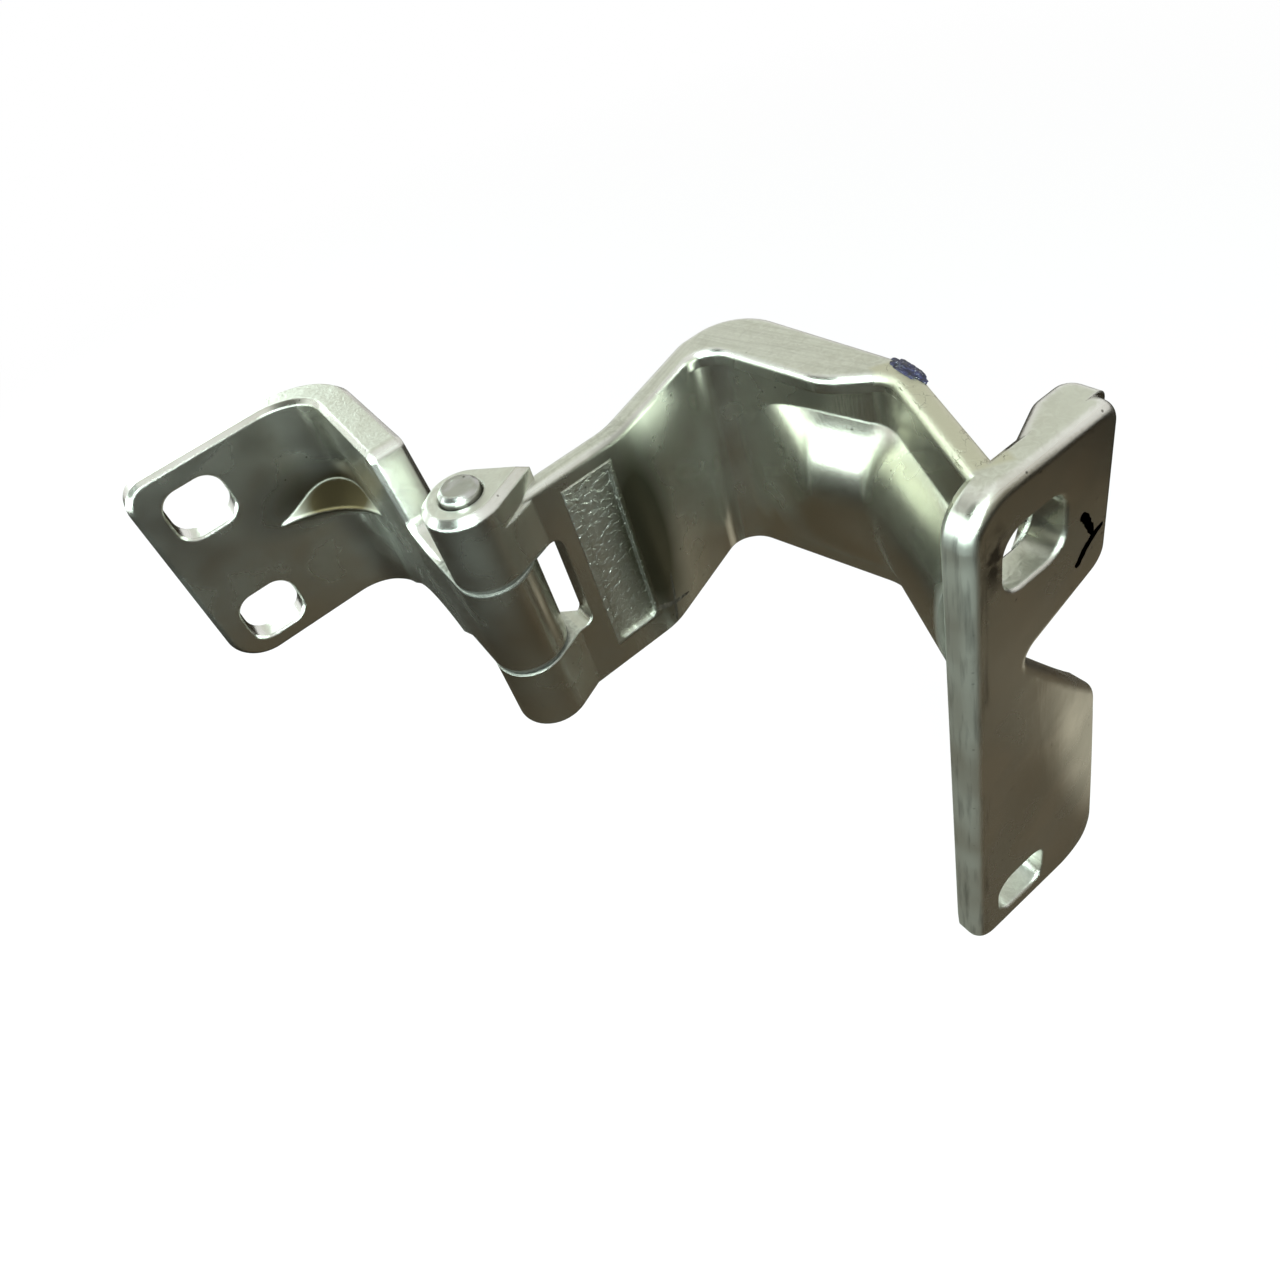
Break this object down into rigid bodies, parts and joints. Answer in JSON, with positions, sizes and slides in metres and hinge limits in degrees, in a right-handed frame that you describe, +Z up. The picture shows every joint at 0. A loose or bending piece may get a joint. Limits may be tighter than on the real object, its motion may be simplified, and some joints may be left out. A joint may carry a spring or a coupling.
{
  "type": "car door hinge",
  "caption": "Pressed steel gooseneck car door hinge: a bent pillar leaf, a cranked door leaf with a bolt plate, and a plain pin.",
  "frame": {"origin": "middle of the pillar pad's mounting face, half way between its two bolt slots", "axes": "+Z up along the hinge pin, +Y out of the pillar pad's mounting face towards the pillar, +X from the pad's free end towards the door arm"},
  "size_m": [0.1482, 0.1363, 0.1456],
  "materials": {
    "leaf_steel": "satin zinc plated, olive passivated",
    "pin_steel": "satin zinc plated"
  },
  "bodies": {
    "pillar": {"pillar_leaf": "leaf_steel", "hinge_pin": "pin_steel"},
    "door": {"door_leaf": "leaf_steel"}
  },
  "joints": [
    {"name": "door_swing", "type": "hinge", "parent": "pillar", "child": "door", "pos_m": [0.0416, -0.0721, -0.00105], "axis": [0, 0, -1], "range_deg": [0, 80]}
  ]
}
